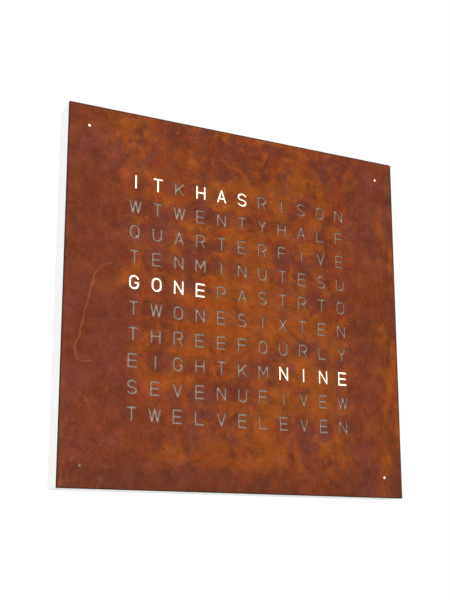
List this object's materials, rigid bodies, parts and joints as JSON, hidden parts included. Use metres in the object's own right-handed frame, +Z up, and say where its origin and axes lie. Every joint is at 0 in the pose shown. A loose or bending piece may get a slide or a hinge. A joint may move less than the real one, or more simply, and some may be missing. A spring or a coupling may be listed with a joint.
{
  "type": "wall word clock",
  "caption": "Square wall word clock with a rusted steel front held by magnets on a white frame; letter cut-outs and corner dots are lit from behind.",
  "frame": {"origin": "middle of the rear face, on the wall plane", "axes": "+X right as seen from the front, +Y towards the wall, +Z up"},
  "size_m": [0.4513, 0.036, 0.45],
  "materials": {
    "rusted_steel": "rusted",
    "opal_sheet": "satin",
    "pin_steel": "satin",
    "white_lacquer": "satin lacquer",
    "bare_board": "raw",
    "magnet_nickel": "polished",
    "grid_white": "matt",
    "tube_white": "matt",
    "board_white": "solder mask",
    "led_white": "satin",
    "chip_black": "matt",
    "zinc_screw": "zinc plated",
    "back_panel": "satin lacquer",
    "hanger_zinc": "zinc plated",
    "black_plastic": "matt",
    "nut_nickel": "plated",
    "board_green": "solder mask",
    "spacer_nylon": "satin",
    "cell_steel": "satin",
    "coil_ferrite": "matt",
    "capacitor_can": "satin",
    "plug_white": "satin",
    "ribbon_grey": "satin",
    "lead_black": "satin",
    "button_white": "satin",
    "plunger_black": "matt"
  },
  "bodies": {
    "housing": {"back_cover": "back_panel", "back_cover_screws": "zinc_screw", "button_board": "board_green", "button_lead": "lead_black", "cable_well": "black_plastic", "coin_cell": "cell_steel", "coin_cell_holder": "black_plastic", "control_board": "board_green", "control_spacers": "spacer_nylon", "controller_chip": "chip_black", "corner_blocks": "bare_board", "cover_magnets": "magnet_nickel", "dc_inlet": "black_plastic", "dot_light_boxes": "tube_white", "driver_chips": "chip_black", "frame_bottom": "white_lacquer", "frame_left": "white_lacquer", "frame_right": "white_lacquer", "frame_top": "white_lacquer", "grid_crossbars": "grid_white", "grid_uprights": "grid_white", "hanger_plate_left": "hanger_zinc", "hanger_plate_right": "hanger_zinc", "hanger_screws": "zinc_screw", "inlet_lead": "lead_black", "inlet_nut": "nut_nickel", "lead_plugs": "plug_white", "led_board": "board_white", "leds": "led_white", "regulator_coil": "coil_ferrite", "ribbon_cable": "ribbon_grey", "ribbon_plugs": "plug_white", "side_blocks": "bare_board", "smoothing_capacitors": "capacitor_can", "switch_bodies": "chip_black"},
    "cover": {"front_cover": "rusted_steel", "letter_diffuser": "opal_sheet", "locating_pins": "pin_steel"},
    "push_button_upper": {"button_upper": "button_white", "plunger_upper": "plunger_black"},
    "push_button_middle": {"button_middle": "button_white", "plunger_middle": "plunger_black"},
    "push_button_lower": {"button_lower": "button_white", "plunger_lower": "plunger_black"}
  },
  "joints": [
    {"name": "cover_pull", "type": "slide", "parent": "housing", "child": "cover", "axis": [0, -1, 0], "range_m": [0, 0.06]},
    {"name": "press_upper", "type": "slide", "parent": "housing", "child": "push_button_upper", "axis": [-1, 0, 0], "range_m": [0, 0.0008], "stiffness_N_per_m": 2500},
    {"name": "press_middle", "type": "slide", "parent": "housing", "child": "push_button_middle", "axis": [-1, 0, 0], "range_m": [0, 0.0008], "stiffness_N_per_m": 2500},
    {"name": "press_lower", "type": "slide", "parent": "housing", "child": "push_button_lower", "axis": [-1, 0, 0], "range_m": [0, 0.0008], "stiffness_N_per_m": 2500}
  ]
}
